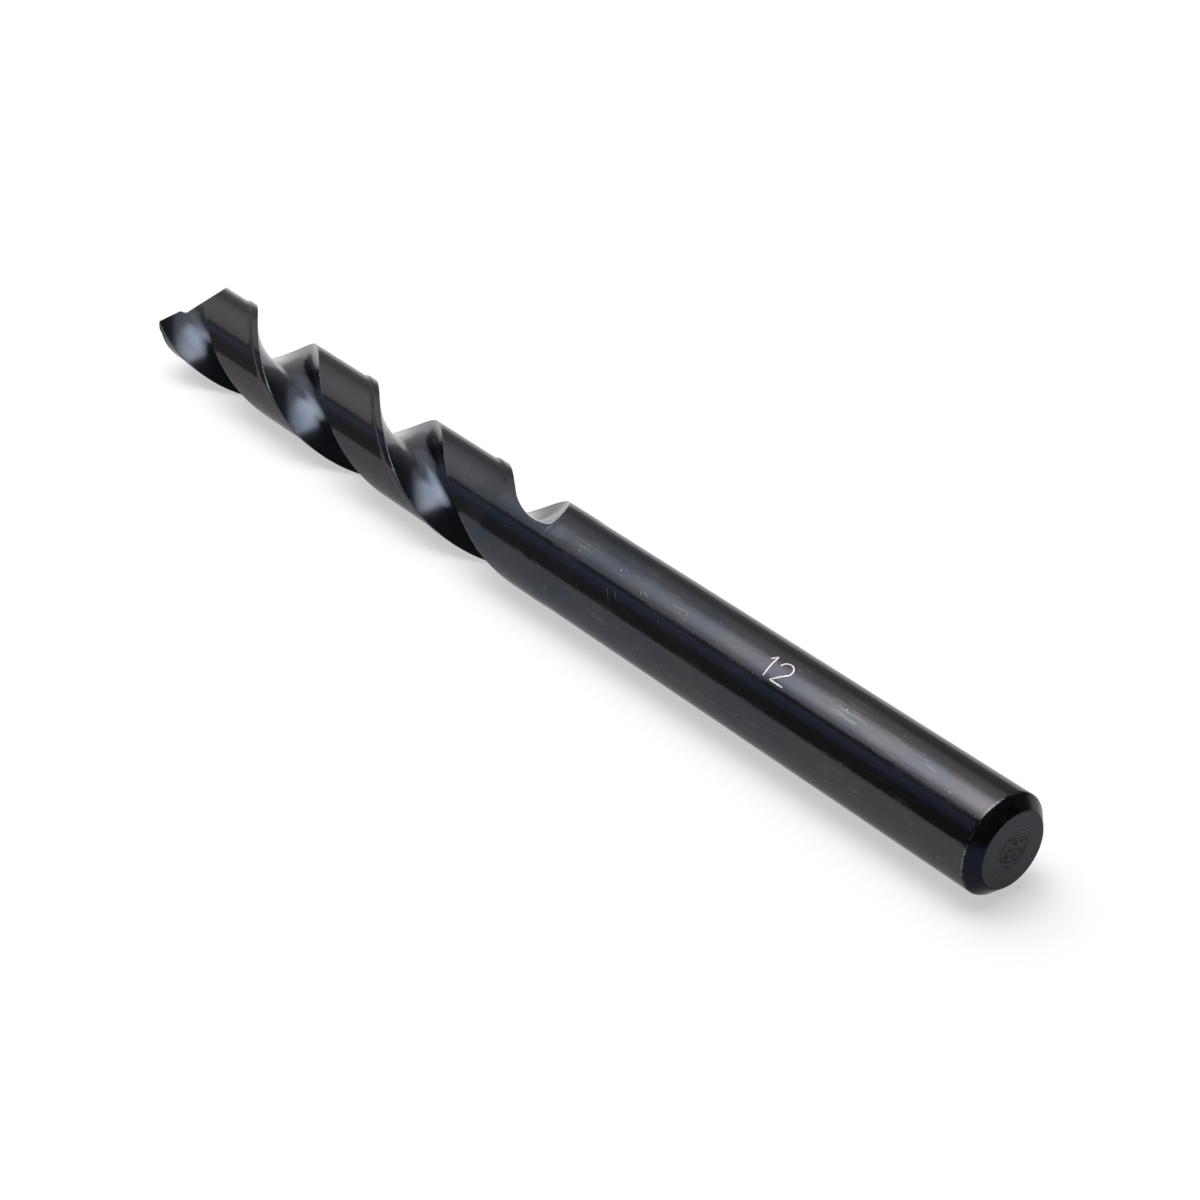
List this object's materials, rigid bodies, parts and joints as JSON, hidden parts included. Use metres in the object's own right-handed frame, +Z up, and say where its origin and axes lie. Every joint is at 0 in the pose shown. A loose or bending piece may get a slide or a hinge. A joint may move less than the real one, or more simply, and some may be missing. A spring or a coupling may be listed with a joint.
{
  "type": "twist drill bit",
  "caption": "Straight-shank twist drill with two right-hand spiral flutes, narrow cutting margins and a 135 degree split point.",
  "frame": {"origin": "on the ground below the middle of the drill's length and axis", "axes": "+X along the axis from the tip to the shank end, +Z up, so the drill lies level"},
  "size_m": [0.156, 0.012, 0.012],
  "materials": {
    "twist_drill": "satin"
  },
  "bodies": {
    "root": {"twist_drill": "twist_drill"}
  },
  "joints": []
}
